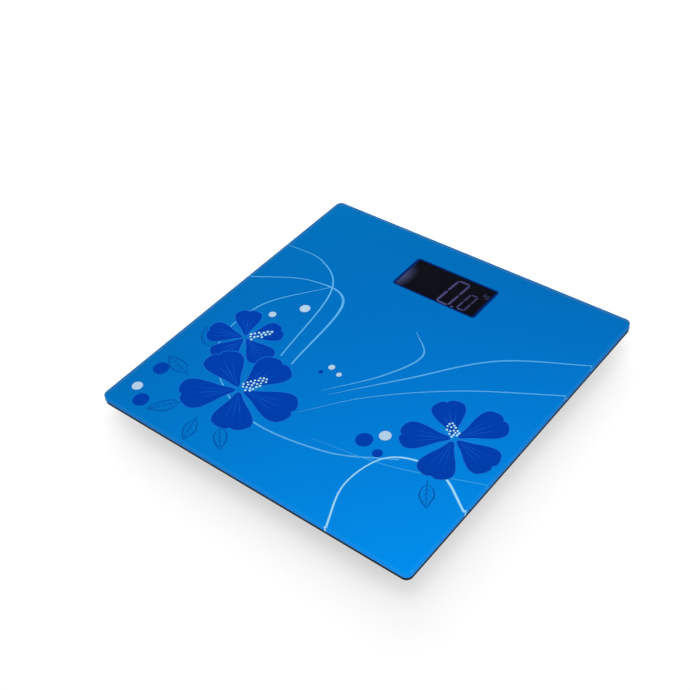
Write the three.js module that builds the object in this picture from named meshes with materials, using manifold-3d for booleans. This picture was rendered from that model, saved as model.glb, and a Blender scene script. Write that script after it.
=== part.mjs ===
// Glass-platform digital personal scale, modelled as the separate pieces it is assembled from.
// Units are millimetres, +Z is up. The origin is on the surface the scale stands on, under the centre of the
// platform; +Y points to the display side and +X to the user's right.
import * as THREE from "three";
import { mergeVertices } from "three/addons/utils/BufferGeometryUtils.js";
import Module from "manifold-3d";

const wasm = await Module();
wasm.setup();

// ---------------------------------------------------------------- driving dimensions
const PLATFORM = 300; // side of the square glass platform
const PLATFORM_R = 5.5; // its corner radius
const GLASS_T = 5; // tempered glass thickness
const EDGE = 0.7; // ground chamfer on the glass edges
const TOP_Z = 24; // overall height
const GLASS_Z = TOP_Z - GLASS_T; // underside of the glass
const FILM_Z0 = 18.6,
  FILM_Z1 = 18.9; // printed film behind the glass
const FILM = 299.2; // side of the film
const WINDOW_W = 78.6,
  WINDOW_D = 36.3; // clear display window
const LCD_Y = 105.3; // centre line of the display
const TAPE_Z0 = 17.75,
  TAPE_Z1 = 18.55; // foam tape that bonds the film and glass to the tray

const TRAY_Z = 3.4; // underside of the tray
const FLOOR_T = 2; // tray floor thickness
const FLOOR_Z = TRAY_Z + FLOOR_T; // inside floor of the tray
const FLANGE = 299.4; // side of the flange under the glass
const FLANGE_Z0 = 15.8,
  FLANGE_Z1 = 17.7;
const RIB_T = 1.6,
  RIB_Z1 = 17.4;

const FOOT = 102; // foot centres at +-FOOT in x and y
const WELL_R = 21.5,
  WELL_WALL = 2; // foot recess
const WELL_Z = 6.6,
  SEAT_Z = 8.6; // ceiling plate of the recess
const CELL = 34,
  CELL_T = 2,
  CELL_Z = 9.65; // load cell plate
const EAR = 20; // cell cover screws at (-EAR, EAR) and (EAR, -EAR) from the foot centre

const BAY_Y = 28; // centre of the battery bay
const BAY_HX = 26,
  BAY_HY = 12; // half sizes inside the bay
const BAY_TOP = 16.2;
const COVER_HX = 30,
  COVER_HY = 15,
  COVER_T = 1.6;
const COVER_GAP = 0.4;
const AAA_R = 5.25,
  AAA_L = 44.5,
  AAA_Z = 10.75,
  AAA_DY = 5.7;

const BOARD_Z0 = 9.4,
  BOARD_Z1 = 11.0;
const BUTTON = [-29, 73]; // unit button
const BOARD_SCREWS = [
  [-36, 62],
  [36, 62],
  [-48.5, 123.8],
  [48.5, 123.8],
];

// ---------------------------------------------------------------- materials
const mat = (color, roughness, metalness = 0, extra = {}) =>
  new THREE.MeshStandardMaterial({ color, roughness, metalness, ...extra });
const M = {
  glass: mat(0xcfe6ea, 0.05, 0, { transparent: true, opacity: 0.25 }),
  film: mat(0x0080d8, 0.35),
  tape: mat(0x24272b, 0.9),
  tray: mat(0x15171a, 0.55),
  cover: mat(0x1a1c20, 0.5),
  lcd: mat(0x0b0b14, 0.15),
  frame: mat(0x101114, 0.6),
  guide: mat(0xe6f1ff, 0.1),
  led: mat(0xf2f0e0, 0.3),
  zebra: mat(0xd8a0a0, 0.7),
  board: mat(0x1d6b3a, 0.45),
  epoxy: mat(0x0c0c0d, 0.35),
  can: mat(0x2a3350, 0.35),
  switchBody: mat(0x202226, 0.5),
  plunger: mat(0x8a8c90, 0.5),
  button: mat(0x8d9299, 0.5),
  cellWrap: mat(0x9aa3ad, 0.3, 0.4),
  spring: mat(0xc9ccd0, 0.25, 1),
  red: mat(0xb01818, 0.5),
  black: mat(0x111111, 0.5),
  steel: mat(0xb9bcc0, 0.3, 1),
  zinc: mat(0xc2c4c8, 0.3, 1),
  abs: mat(0xe9e9e4, 0.55),
  rubber: mat(0x2b2d30, 0.85),
  eva: mat(0x3c3f44, 0.95),
  cable: mat(0x5a5d63, 0.55),
};

// ---------------------------------------------------------------- helpers
// Points of a rounded rectangle, counter-clockwise, n segments per corner.
function rounded(w, d, r, n = 6, cx = 0, cy = 0) {
  const pts = [];
  const c = [
    [w / 2 - r, d / 2 - r, 0],
    [-w / 2 + r, d / 2 - r, 90],
    [-w / 2 + r, -d / 2 + r, 180],
    [w / 2 - r, -d / 2 + r, 270],
  ];
  for (const [x, y, a0] of c)
    for (let i = 0; i <= n; i++) {
      const a = ((a0 + (90 * i) / n) * Math.PI) / 180;
      pts.push(
        new THREE.Vector2(cx + x + r * Math.cos(a), cy + y + r * Math.sin(a)),
      );
    }
  return pts;
}
const rect = (x0, y0, x1, y1) => [
  new THREE.Vector2(x0, y0),
  new THREE.Vector2(x1, y0),
  new THREE.Vector2(x1, y1),
  new THREE.Vector2(x0, y1),
];
function circle(r, n = 24, cx = 0, cy = 0) {
  const pts = [];
  for (let i = 0; i < n; i++) {
    const a = (2 * Math.PI * i) / n;
    pts.push(new THREE.Vector2(cx + r * Math.cos(a), cy + r * Math.sin(a)));
  }
  return pts;
}
// Straight extrusion of an outline with holes, from z0 to z1.
function slab(pts, z0, z1, holes = []) {
  const s = new THREE.Shape(pts);
  for (const h of holes) s.holes.push(new THREE.Path(h));
  return new THREE.ExtrudeGeometry(s, {
    depth: z1 - z0,
    bevelEnabled: false,
    steps: 1,
  }).translate(0, 0, z0);
}
// Extrusion with the top and bottom edges chamfered by c; the outline is the full size.
function chamfered(pts, z0, z1, c) {
  return new THREE.ExtrudeGeometry(new THREE.Shape(pts), {
    depth: z1 - z0 - 2 * c,
    bevelEnabled: true,
    bevelThickness: c,
    bevelSize: c,
    bevelOffset: -c,
    bevelSegments: 1,
    steps: 1,
  }).translate(0, 0, z0 + c);
}
// Skin through outlines of equal point count at rising heights, closed at both ends.
function loft(rings) {
  const n = rings[0].pts.length,
    pos = [],
    idx = [];
  for (const { pts, z } of rings) for (const p of pts) pos.push(p.x, p.y, z);
  for (let k = 0; k + 1 < rings.length; k++)
    for (let i = 0; i < n; i++) {
      const a = k * n + i,
        b = k * n + ((i + 1) % n),
        c = a + n,
        d = b + n;
      idx.push(a, b, d, a, d, c);
    }
  const cap = (ring, base, up) => {
    for (const [a, b, c] of THREE.ShapeUtils.triangulateShape(ring.pts, []))
      up
        ? idx.push(base + a, base + b, base + c)
        : idx.push(base + a, base + c, base + b);
  };
  cap(rings[0], 0, false);
  cap(rings.at(-1), (rings.length - 1) * n, true);
  const g = new THREE.BufferGeometry();
  g.setAttribute("position", new THREE.Float32BufferAttribute(pos, 3));
  g.setIndex(idx);
  return g;
}
// Turned piece about Z from a closed [radius, z] profile.
function turned(profile, n = 24) {
  return new THREE.LatheGeometry(
    profile.map(([r, z]) => new THREE.Vector2(r, z)),
    n,
  ).rotateX(Math.PI / 2);
}
const block = (x0, x1, y0, y1, z0, z1) =>
  new THREE.BoxGeometry(x1 - x0, y1 - y0, z1 - z0).translate(
    (x0 + x1) / 2,
    (y0 + y1) / 2,
    (z0 + z1) / 2,
  );
// Round bar along a smooth curve through points.
function bar(points, r, steps, sides = 8, curve = null) {
  const path =
    curve ||
    new THREE.CatmullRomCurve3(
      points.map((p) => new THREE.Vector3(...p)),
      false,
      "centripetal",
    );
  return new THREE.ExtrudeGeometry(new THREE.Shape(circle(r, sides)), {
    extrudePath: path,
    steps,
    bevelEnabled: false,
  });
}
// Closed solid from a surface, with its faces turned to point out.
function solid(g) {
  const w = g.index ? g.toNonIndexed() : g;
  const bare = new THREE.BufferGeometry().setAttribute(
    "position",
    w.getAttribute("position").clone(),
  );
  const m = mergeVertices(bare, 1e-4);
  const tri = new Uint32Array(m.index.array);
  const p = m.attributes.position;
  let vol = 0;
  const a = new THREE.Vector3(),
    b = new THREE.Vector3(),
    c = new THREE.Vector3();
  const kept = [];
  for (let i = 0; i < tri.length; i += 3) {
    if (
      tri[i] === tri[i + 1] ||
      tri[i + 1] === tri[i + 2] ||
      tri[i] === tri[i + 2]
    )
      continue;
    kept.push(tri[i], tri[i + 1], tri[i + 2]);
    a.fromBufferAttribute(p, tri[i]);
    b.fromBufferAttribute(p, tri[i + 1]);
    c.fromBufferAttribute(p, tri[i + 2]);
    vol += a.dot(b.cross(c));
  }
  if (vol < 0)
    for (let i = 0; i < kept.length; i += 3)
      [kept[i + 1], kept[i + 2]] = [kept[i + 2], kept[i + 1]];
  return new wasm.Manifold(
    new wasm.Mesh({
      numProp: 3,
      vertProperties: new Float32Array(p.array),
      triVerts: new Uint32Array(kept),
    }),
  );
}
function geometry(s) {
  const m = s.getMesh();
  const v = new Float32Array(m.numVert * 3);
  for (let i = 0; i < m.numVert; i++)
    v.set(
      m.vertProperties.subarray(i * m.numProp, i * m.numProp + 3),
      i * 3,
    );
  const g = new THREE.BufferGeometry();
  g.setAttribute("position", new THREE.BufferAttribute(v, 3));
  g.setIndex(new THREE.BufferAttribute(new Uint32Array(m.triVerts), 1));
  const flat = g.toNonIndexed();
  flat.computeVertexNormals();
  return flat;
}
const join = (...gs) => gs.map(toSolid).reduce((a, b) => a.add(b));
const cut = (a, ...gs) =>
  gs.map(toSolid).reduce((x, y) => x.subtract(y), toSolid(a));
function toSolid(x) {
  return x.isBufferGeometry ? solid(x) : x;
}
function mesh(parent, name, shape, material) {
  const m = new THREE.Mesh(geometry(toSolid(shape)), material);
  m.name = name;
  parent.add(m);
  return m;
}
const group = (parent, x = 0, y = 0, z = 0, turn = 0) => {
  const g = new THREE.Group();
  g.position.set(x, y, z);
  g.rotation.z = turn;
  parent.add(g);
  return g;
};

const scale = new THREE.Group();
scale.name = "personal_scale";

// ---------------------------------------------------------------- platform: glass, film, tape
const platform = group(scale);
mesh(
  platform,
  "glass_platform",
  chamfered(rounded(PLATFORM, PLATFORM, PLATFORM_R, 6), GLASS_Z, TOP_Z, EDGE),
  M.glass,
);
mesh(
  platform,
  "printed_film",
  slab(rounded(FILM, FILM, PLATFORM_R - 0.4, 6), FILM_Z0, FILM_Z1, [
    rounded(WINDOW_W, WINDOW_D, 1.5, 3, 0, LCD_Y),
  ]),
  M.film,
);
mesh(
  platform,
  "adhesive_tape",
  slab(rounded(294, 294, 6, 4), TAPE_Z0, TAPE_Z1, [rounded(275, 275, 16, 4)]),
  M.tape,
);

// ---------------------------------------------------------------- base tray
const outer = join(
  loft([
    { pts: rounded(256, 256, 23, 6), z: TRAY_Z },
    { pts: rounded(258.8, 258.8, 24.4, 6), z: TRAY_Z + 1.1 },
    { pts: rounded(272, 272, 20, 6), z: FLANGE_Z0 + 0.6 },
  ]),
  slab(rounded(FLANGE, FLANGE, PLATFORM_R - 0.3, 6), FLANGE_Z0, FLANGE_Z1),
);
let tray = cut(
  outer,
  loft([
    { pts: rounded(253.6, 253.6, 21.5, 6), z: FLOOR_Z },
    { pts: rounded(269.4, 269.4, 18, 6), z: FLANGE_Z1 + 0.8 },
  ]),
);
// stiffening ribs
const ribs = [
  block(-65.2 - RIB_T, -65.2, -129, 84, FLOOR_Z - 0.5, RIB_Z1),
  block(65.2, 65.2 + RIB_T, -129, 84, FLOOR_Z - 0.5, RIB_Z1),
  block(-66, 66, -62, -62 + RIB_T, FLOOR_Z - 0.5, RIB_Z1),
  block(-129.5, 129.5, -6, -6 + RIB_T, FLOOR_Z - 0.5, RIB_Z1),
  block(-0.8, 0.8, -129, -6, FLOOR_Z - 0.5, RIB_Z1),
  block(66, 129.5, 52, 52 + RIB_T, FLOOR_Z - 0.5, RIB_Z1),
  block(-129.5, -66, 52, 52 + RIB_T, FLOOR_Z - 0.5, RIB_Z1),
];
const corners = [
  ["br", 1, 1, 0],
  ["bl", -1, 1, Math.PI / 2],
  ["fl", -1, -1, Math.PI],
  ["fr", 1, -1, -Math.PI / 2],
];
const wells = [],
  wellCuts = [];
for (const [, sx, sy] of corners) {
  const x = sx * FOOT,
    y = sy * FOOT,
    s = sx * sy;
  wells.push(
    slab(circle(WELL_R + WELL_WALL, 24, x, y), TRAY_Z + 0.6, SEAT_Z),
    slab(
      rounded(CELL + 0.4, CELL + 0.4, 2, 1, x, y),
      SEAT_Z - 0.4,
      SEAT_Z + 1,
      [rounded(27, 27, 1, 1, x, y)],
    ),
    slab(circle(3.6, 10, x - EAR, y + s * EAR), FLOOR_Z - 0.5, SEAT_Z),
    slab(circle(3.6, 10, x + EAR, y - s * EAR), FLOOR_Z - 0.5, SEAT_Z),
  );
  wellCuts.push(
    slab(circle(WELL_R, 28, x, y), TRAY_Z - 1, WELL_Z),
    slab(circle(7.5, 14, x, y), TRAY_Z, SEAT_Z + 2),
    slab(circle(1.4, 6, x - EAR, y + s * EAR), FLOOR_Z - 0.6, SEAT_Z + 1),
    slab(circle(1.4, 6, x + EAR, y - s * EAR), FLOOR_Z - 0.6, SEAT_Z + 1),
  );
}
// battery bay: seat plate for the cover, four walls and a roof
const bay = [
  block(
    -COVER_HX - 2.3,
    COVER_HX + 2.3,
    BAY_Y - COVER_HY - 3.4,
    BAY_Y + COVER_HY + 2.3,
    FLOOR_Z - 0.5,
    6.8,
  ),
  block(
    -BAY_HX - 1.6,
    BAY_HX + 1.6,
    BAY_Y - BAY_HY - 1.6,
    BAY_Y + BAY_HY + 1.6,
    6,
    RIB_Z1,
  ),
];
const bayCuts = [
  block(
    -BAY_HX,
    BAY_HX,
    BAY_Y - BAY_HY,
    BAY_Y + BAY_HY,
    TRAY_Z - 1,
    BAY_TOP,
  ),
  // cover opening through the floor skin
  slab(
    rounded(
      2 * (COVER_HX + COVER_GAP),
      2 * (COVER_HY + COVER_GAP),
      2,
      3,
      0,
      BAY_Y,
    ),
    TRAY_Z - 1,
    FLOOR_Z,
  ),
  // relief along the hinge side, so the cover's outer edge can swing past it
  block(
    -COVER_HX - COVER_GAP,
    COVER_HX + COVER_GAP,
    BAY_Y - COVER_HY - 1.1,
    BAY_Y - COVER_HY,
    TRAY_Z - 1,
    TRAY_Z + 0.45,
  ),
  // pockets for the cover's two hinge tabs
  block(-21.5, -13.5, BAY_Y - 18, BAY_Y - 12.6, 4.1, 6.15),
  block(13.5, 21.5, BAY_Y - 18, BAY_Y - 12.6, 4.1, 6.15),
  // slots for the contacts' solder tabs
  block(
    BAY_HX - 0.5,
    BAY_HX + 2.2,
    BAY_Y + AAA_DY - 1.6,
    BAY_Y + AAA_DY + 1.6,
    13.4,
    15,
  ),
  block(
    BAY_HX - 0.5,
    BAY_HX + 2.2,
    BAY_Y - AAA_DY - 1.6,
    BAY_Y - AAA_DY + 1.6,
    13.4,
    15,
  ),
  // shallow finger scoop in front of the cover's latch
  slab(
    rounded(18, 9, 4, 4, 0, BAY_Y + COVER_HY + 3.2),
    TRAY_Z - 1,
    TRAY_Z + 1.1,
  ),
];
const bosses = BOARD_SCREWS.map(([x, y]) =>
  slab(circle(3.2, 10, x, y), FLOOR_Z - 0.5, BOARD_Z0 - 0.05),
);
const bossCuts = BOARD_SCREWS.map(([x, y]) =>
  slab(circle(1.35, 6, x, y), FLOOR_Z - 0.2, BOARD_Z0 + 1),
);
const otherCuts = [
  slab(circle(5, 20, ...BUTTON), TRAY_Z - 1, FLOOR_Z + 1), // unit button hole
  slab(circle(7.2, 22, ...BUTTON), TRAY_Z - 1, TRAY_Z + 0.5), // shallow dish round it
  slab(rounded(76, 40, 3, 3, 0, -64), TRAY_Z - 1, TRAY_Z + 0.3), // blank label recess
  // notches where the cell cables cross the ribs
  ...[-1, 1].flatMap((s) => [
    block(s * 66 - 2.5, s * 66 + 2.5, -106, -94, FLOOR_Z, 12),
    block(s * 56 - 3, s * 56 + 3, -65, -57, FLOOR_Z, 11),
    block(s * 56 - 3, s * 56 + 3, -9, -1, FLOOR_Z, 11),
  ]),
];
tray = join(tray, ...ribs, ...wells, ...bay, ...bosses);
tray = cut(tray, ...wellCuts, ...bayCuts, ...bossCuts, ...otherCuts);
mesh(scale, "base_tray", tray, M.tray);

// ---------------------------------------------------------------- four foot and load cell assemblies
const SCREW = (head, shank, z0, zh, z1) => [
  [0, z0],
  [shank, z0],
  [shank, zh],
  [head, zh],
  [head * 0.8, z1],
  [0, z1],
];
for (const [tag, sx, sy, turn] of corners) {
  const g = group(scale, sx * FOOT, sy * FOOT, 0, turn);
  mesh(
    g,
    "rubber_foot_" + tag,
    turned(
      [
        [0, 0],
        [15.2, 0],
        [16, 0.7],
        [16, 2],
        [0, 2],
      ],
      24,
    ),
    M.rubber,
  );
  mesh(
    g,
    "foot_cap_" + tag,
    turned(
      [
        [0, 2.05],
        [16.3, 2.05],
        [16.3, 0.9],
        [19, 0.9],
        [20, 1.8],
        [20, 4.3],
        [19.3, 4.9],
        [5, 4.9],
        [5, 9.6],
        [0, 9.6],
      ],
      24,
    ),
    M.tray,
  );
  mesh(
    g,
    "load_cell_" + tag,
    slab(rounded(CELL, CELL, 2, 1), CELL_Z, CELL_Z + CELL_T, [
      [
        [-11, -11],
        [11, -11],
        [11, -6],
        [-8, -6],
        [-8, 6],
        [11, 6],
        [11, 11],
        [-11, 11],
      ].map(([x, y]) => new THREE.Vector2(x, y)),
    ]),
    M.steel,
  );
  let cover = join(
    slab(rounded(44, 44, 4, 2), SEAT_Z + 0.1, 15.2),
    slab(rounded(40, 40, 3, 2), 15, 16),
    slab(circle(4.5, 12, -EAR, EAR), SEAT_Z + 0.1, 12.2),
    slab(circle(4.5, 12, EAR, -EAR), SEAT_Z + 0.1, 12.2),
  );
  cover = cut(
    cover,
    slab(rounded(34.8, 34.8, 2, 1), SEAT_Z, CELL_Z + CELL_T + 0.05),
    slab(rounded(27, 27, 1, 1), SEAT_Z, 13.2),
    block(-23, -15, -1.8, 1.8, SEAT_Z, 12.6),
    block(-1.8, 1.8, -23, -15, SEAT_Z, 12.6),
    ...[-1, 1].flatMap((s) => [
      slab(circle(3.2, 12, -s * EAR, s * EAR), 12.2, 17),
      slab(circle(1.6, 6, -s * EAR, s * EAR), SEAT_Z, 13),
    ]),
  );
  mesh(g, "cell_cover_" + tag, cover, M.abs);
  for (const [k, s] of [
    ["a", -1],
    ["b", 1],
  ]) {
    const at = group(g, s * EAR, -s * EAR);
    mesh(
      at,
      `cover_screw_${tag}_${k}`,
      turned(SCREW(2.8, 1.2, 5.6, 12.25, 13.9), 10),
      M.zinc,
    );
  }
  mesh(
    g,
    "glass_pad_" + tag,
    slab(circle(17, 18), 16.05, TAPE_Z1),
    M.eva,
  );
}

// ---------------------------------------------------------------- display module
const display = group(scale, 0, LCD_Y, 0);
mesh(
  display,
  "lcd_panel",
  block(-42, 42, -23.5, 20.5, 15.6, 18.4),
  M.lcd,
);
mesh(
  display,
  "lcd_frame",
  cut(
    slab(rounded(88, 47.6, 1.2, 2, 0, -1.5), BOARD_Z1 + 0.1, 18.45),
    block(-42.2, 42.2, -23.7, 20.7, 15.5, 19),
    block(-40.6, 40.6, -22.6, 19.2, BOARD_Z1 - 1, 16),
  ),
  M.frame,
);
mesh(
  display,
  "light_guide",
  block(-38.4, 40.4, -18.6, 18.9, 12.4, 15.4),
  M.guide,
);
mesh(
  display,
  "backlight_led",
  block(-40.4, -38.7, -1.7, 1.7, BOARD_Z1 + 0.05, 14.8),
  M.led,
);
mesh(
  display,
  "zebra_strip",
  block(-38, 38, -22.3, -20.3, BOARD_Z1 + 0.05, 15.55),
  M.zebra,
);

// ---------------------------------------------------------------- circuit board
const board = group(scale);
mesh(
  board,
  "circuit_board",
  slab(rounded(104, 69.5, 2, 2, 0, 92.75), BOARD_Z0, BOARD_Z1,
    BOARD_SCREWS.map(([x, y]) => circle(1.6, 10, x, y)),
  ),
  M.board,
);
const blob = group(board, 6, 68, BOARD_Z1 + 0.05);
mesh(
  blob,
  "controller_chip",
  turned(
    [
      [0, 0],
      [5.5, 0],
      [5.3, 0.6],
      [4, 1.2],
      [2, 1.5],
      [0, 1.6],
    ],
    14,
  ),
  M.epoxy,
);
const can = group(board, -18, 67, BOARD_Z1 + 0.05);
mesh(
  can,
  "capacitor",
  turned(
    [
      [0, 0],
      [2.4, 0],
      [2.5, 0.2],
      [2.5, 0.9],
      [2.3, 1.1],
      [2.5, 1.3],
      [2.5, 5],
      [2.3, 5.2],
      [0, 5.2],
    ],
    12,
  ),
  M.can,
);
BOARD_SCREWS.forEach(([x, y], i) => {
  const at = group(board, x, y);
  mesh(
    at,
    "board_screw_" + (i + 1),
    turned(SCREW(2.6, 1.15, 5.6, BOARD_Z1 + 0.05, 12.6), 10),
    M.zinc,
  );
});
const button = group(scale, ...BUTTON);
mesh(
  button,
  "unit_switch",
  cut(
    slab(rounded(6, 6, 0.5, 1), 6.9, BOARD_Z0 - 0.05),
    slab(circle(1.9, 14), 6.5, 8.3),
  ),
  M.switchBody,
);
mesh(
  button,
  "switch_plunger",
  slab(circle(1.6, 14), 6.3, 7.7),
  M.plunger,
);
mesh(
  button,
  "unit_button",
  turned(
    [
      [0, 3.0],
      [3.9, 3.0],
      [4.6, 3.5],
      [4.6, 5.45],
      [6.2, 5.45],
      [6.2, 6.25],
      [0, 6.25],
    ],
    20,
  ),
  M.button,
);

// ---------------------------------------------------------------- batteries, contacts and cover
const bayGroup = group(scale, 0, BAY_Y, 0);
const aaa = () =>
  turned(
    [
      [0, 0],
      [4.8, 0],
      [AAA_R, 0.4],
      [AAA_R, 43.2],
      [4.6, 43.7],
      [1.9, 43.7],
      [1.9, AAA_L],
      [0, AAA_L],
    ],
    18,
  );
// each cell lies along X with its positive end against a plate and its flat end against a spring
for (const [name, s] of [
  ["battery_1", 1],
  ["battery_2", -1],
])
  mesh(
    bayGroup,
    name,
    aaa()
      .rotateY((s * Math.PI) / 2)
      .translate(s * (25 - AAA_L), s * AAA_DY, AAA_Z),
    M.cellWrap,
  );
// conical contact spring along X, from its base at x0 to x1, as one bar along a helix
class Coil extends THREE.Curve {
  constructor(x0, x1, y, z, r0, r1, turns) {
    super();
    Object.assign(this, { x0, x1, y, z, r0, r1, turns });
  }
  getPoint(t, target = new THREE.Vector3()) {
    const a = 2 * Math.PI * this.turns * t;
    const r = this.r0 + (this.r1 - this.r0) * t;
    return target.set(
      this.x0 + (this.x1 - this.x0) * t,
      this.y + r * Math.cos(a),
      this.z + r * Math.sin(a),
    );
  }
}
const coil = (s, y) =>
  bar(
    null,
    0.35,
    38,
    5,
    new Coil(-s * 25.45, -s * 20, y, AAA_Z, 3.4, 2, 3.5),
  );
const dimple = (s, y) =>
  turned(
    [
      [0, 0],
      [3, 0],
      [2, 0.3],
      [0, 0.3],
    ],
    12,
  )
    .rotateY((-s * Math.PI) / 2)
    .translate(s * 25.52, y, AAA_Z);
mesh(
  bayGroup,
  "contact_bridge",
  join(
    block(-25.9, -25.5, -10.4, 10.4, AAA_Z - 4.6, AAA_Z + 4.6),
    coil(1, AAA_DY),
    dimple(-1, -AAA_DY),
  ),
  M.spring,
);
mesh(
  bayGroup,
  "contact_positive",
  join(
    block(25.5, 25.9, AAA_DY - 4.6, AAA_DY + 4.6, AAA_Z - 4.6, AAA_Z + 4.6),
    block(25.5, 30, AAA_DY - 1.2, AAA_DY + 1.2, 13.95, 14.45),
    dimple(1, AAA_DY),
  ),
  M.spring,
);
mesh(
  bayGroup,
  "contact_negative",
  join(
    block(25.5, 25.9, -AAA_DY - 4.6, -AAA_DY + 4.6, AAA_Z - 4.6, AAA_Z + 4.6),
    block(25.5, 30, -AAA_DY - 1.2, -AAA_DY + 1.2, 13.95, 14.45),
    coil(-1, -AAA_DY),
  ),
  M.spring,
);
// cover: plate with a sprung latch cut out of it, two hinge tabs and stiffening bars inside
const tab = (x) => block(x - 3, x + 3, -COVER_HY - 2.1, -COVER_HY + 1, 4.2, 5.0);
const coverPlate = cut(
  slab(
    rounded(2 * COVER_HX, 2 * COVER_HY, 1.6, 3),
    TRAY_Z,
    TRAY_Z + COVER_T,
    [
      [
        [-8, 4],
        [8, 4],
        [8, 14],
        [7, 14],
        [7, 5],
        [-7, 5],
        [-7, 14],
        [-8, 14],
      ].map(([x, y]) => new THREE.Vector2(x, y)),
    ],
  ),
  slab(rounded(12, 3.2, 1.5, 3, 0, 10.5), TRAY_Z - 1, TRAY_Z + 0.7),
);
mesh(
  bayGroup,
  "battery_cover",
  join(
    coverPlate,
    tab(-17.5),
    tab(17.5),
    block(-5, 5, COVER_HY - 1, COVER_HY + 0.2, 4.2, 5.0),
  ),
  M.cover,
);

// ---------------------------------------------------------------- wiring
const wiring = group(scale);
for (const [tag, sx] of [
  ["fr", 1],
  ["fl", -1],
])
  mesh(
    wiring,
    "cell_cable_" + tag,
    bar(
      [
        [sx * 84.3, -102, 10.7],
        [sx * 78.5, -102, 10.2],
        [sx * 72, -101.3, 7.6],
        [sx * 64, -98.4, 6.8],
        [sx * 57.6, -90, 6.8],
        [sx * 56, -76, 6.8],
        [sx * 56, -40, 6.8],
        [sx * 56, 0, 6.8],
        [sx * 56, 30, 6.8],
        [sx * 55.4, 44, 7.6],
        [sx * 53, 53, 11.4],
        [sx * 49.5, 59, 13.1],
        [sx * 46, 64.5, 12.6],
        [sx * 43.4, 67.5, 12.35],
      ],
      1.2,
      30,
    ),
    M.cable,
  );
for (const [tag, sx] of [
  ["br", 1],
  ["bl", -1],
])
  mesh(
    wiring,
    "cell_cable_" + tag,
    bar(
      [
        [sx * 84.3, 102, 10.7],
        [sx * 78.5, 102, 10.2],
        [sx * 71.5, 100.6, 7.5],
        [sx * 65.5, 95.5, 6.8],
        [sx * 61.5, 87, 6.9],
        [sx * 59, 80, 8.6],
        [sx * 55.6, 75.5, 12],
        [sx * 50.8, 73.4, 13],
        [sx * 46.4, 73.2, 12.4],
      ],
      1.2,
      20,
    ),
    M.cable,
  );
mesh(
  wiring,
  "battery_lead_red",
  bar(
    [
      [30.5, BAY_Y + AAA_DY, 14.2],
      [33, 34.6, 13.8],
      [34.6, 40, 12.8],
      [33.4, 49, 12.9],
      [28, 57, 12.9],
      [24.4, 61.4, 12.1],
      [23, 64, 11.9],
    ],
    0.75,
    16,
    6,
  ),
  M.red,
);
mesh(
  wiring,
  "battery_lead_black",
  bar(
    [
      [30.5, BAY_Y - AAA_DY, 14.2],
      [34, 23.2, 13.4],
      [38.4, 29, 12.2],
      [39.8, 39, 12],
      [37, 50, 12.9],
      [31.5, 59.5, 13],
      [29.6, 63.6, 12],
      [29, 66, 11.9],
    ],
    0.75,
    20,
    6,
  ),
  M.black,
);

export default scale;
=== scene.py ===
"""Looks of the glass-platform personal scale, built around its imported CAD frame."""

import math
import random

import bmesh
import bpy
from mathutils import Matrix, Vector
from mathutils.geometry import delaunay_2d_cdt, tessellate_polygon


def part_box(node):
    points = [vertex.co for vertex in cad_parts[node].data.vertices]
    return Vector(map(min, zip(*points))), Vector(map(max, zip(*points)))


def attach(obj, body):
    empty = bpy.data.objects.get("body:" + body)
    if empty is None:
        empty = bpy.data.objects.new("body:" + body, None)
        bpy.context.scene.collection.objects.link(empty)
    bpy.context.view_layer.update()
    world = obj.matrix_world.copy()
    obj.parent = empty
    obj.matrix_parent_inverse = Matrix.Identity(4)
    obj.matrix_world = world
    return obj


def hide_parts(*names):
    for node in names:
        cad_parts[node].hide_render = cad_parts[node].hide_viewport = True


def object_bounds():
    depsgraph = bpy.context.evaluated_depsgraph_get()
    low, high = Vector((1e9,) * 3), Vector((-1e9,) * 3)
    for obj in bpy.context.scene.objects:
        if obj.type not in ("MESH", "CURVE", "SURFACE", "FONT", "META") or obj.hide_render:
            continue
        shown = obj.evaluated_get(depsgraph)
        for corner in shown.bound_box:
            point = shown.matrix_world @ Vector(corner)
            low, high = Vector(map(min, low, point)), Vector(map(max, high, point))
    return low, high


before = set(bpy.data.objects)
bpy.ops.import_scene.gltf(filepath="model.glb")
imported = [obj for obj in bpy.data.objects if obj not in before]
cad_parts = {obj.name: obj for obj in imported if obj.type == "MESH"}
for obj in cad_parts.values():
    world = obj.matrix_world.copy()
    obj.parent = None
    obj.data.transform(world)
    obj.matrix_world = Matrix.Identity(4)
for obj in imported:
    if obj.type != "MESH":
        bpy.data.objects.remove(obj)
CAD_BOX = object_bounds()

MM = 0.001
LO, HI = CAD_BOX
GLASS_LO, GLASS_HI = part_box("glass_platform")
FILM_LO, FILM_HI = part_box("printed_film")
LCD_LO, LCD_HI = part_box("lcd_panel")
scene = bpy.context.scene
scene.view_settings.view_transform = "Standard"


# ------------------------------------------------------------------ camera, floor, light
def lin(c):
    """sRGB 0-255 to linear."""
    out = []
    for v in c:
        v /= 255
        out.append(v / 12.92 if v <= 0.04045 else ((v + 0.055) / 1.055) ** 2.4)
    return out


AZ, EL, ROLL = math.radians(43.304), math.radians(42.862), math.radians(-6.723)
DIST = 0.9547
back = Vector(
    (math.sin(AZ) * math.cos(EL), -math.cos(AZ) * math.cos(EL), math.sin(EL))
)
side = (-back).cross(Vector((0, 0, 1))).normalized()
up = side.cross(-back)
cam_x = side * math.cos(ROLL) + up * math.sin(ROLL)
cam_y = -side * math.sin(ROLL) + up * math.cos(ROLL)
cam_data = bpy.data.cameras.new("camera")
cam_data.sensor_width = 36
cam_data.lens = 36 * 1191.2 / 690
cam = bpy.data.objects.new("camera", cam_data)
scene.collection.objects.link(cam)
rot = Matrix((cam_x, cam_y, back)).transposed().to_4x4()
cam.matrix_world = (
    Matrix.Translation(Vector((-0.0246, 0.0013, GLASS_HI.z)) + back * DIST) @ rot
)
cam_data.clip_start, cam_data.clip_end = 0.01, 50
scene.camera = cam


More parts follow.
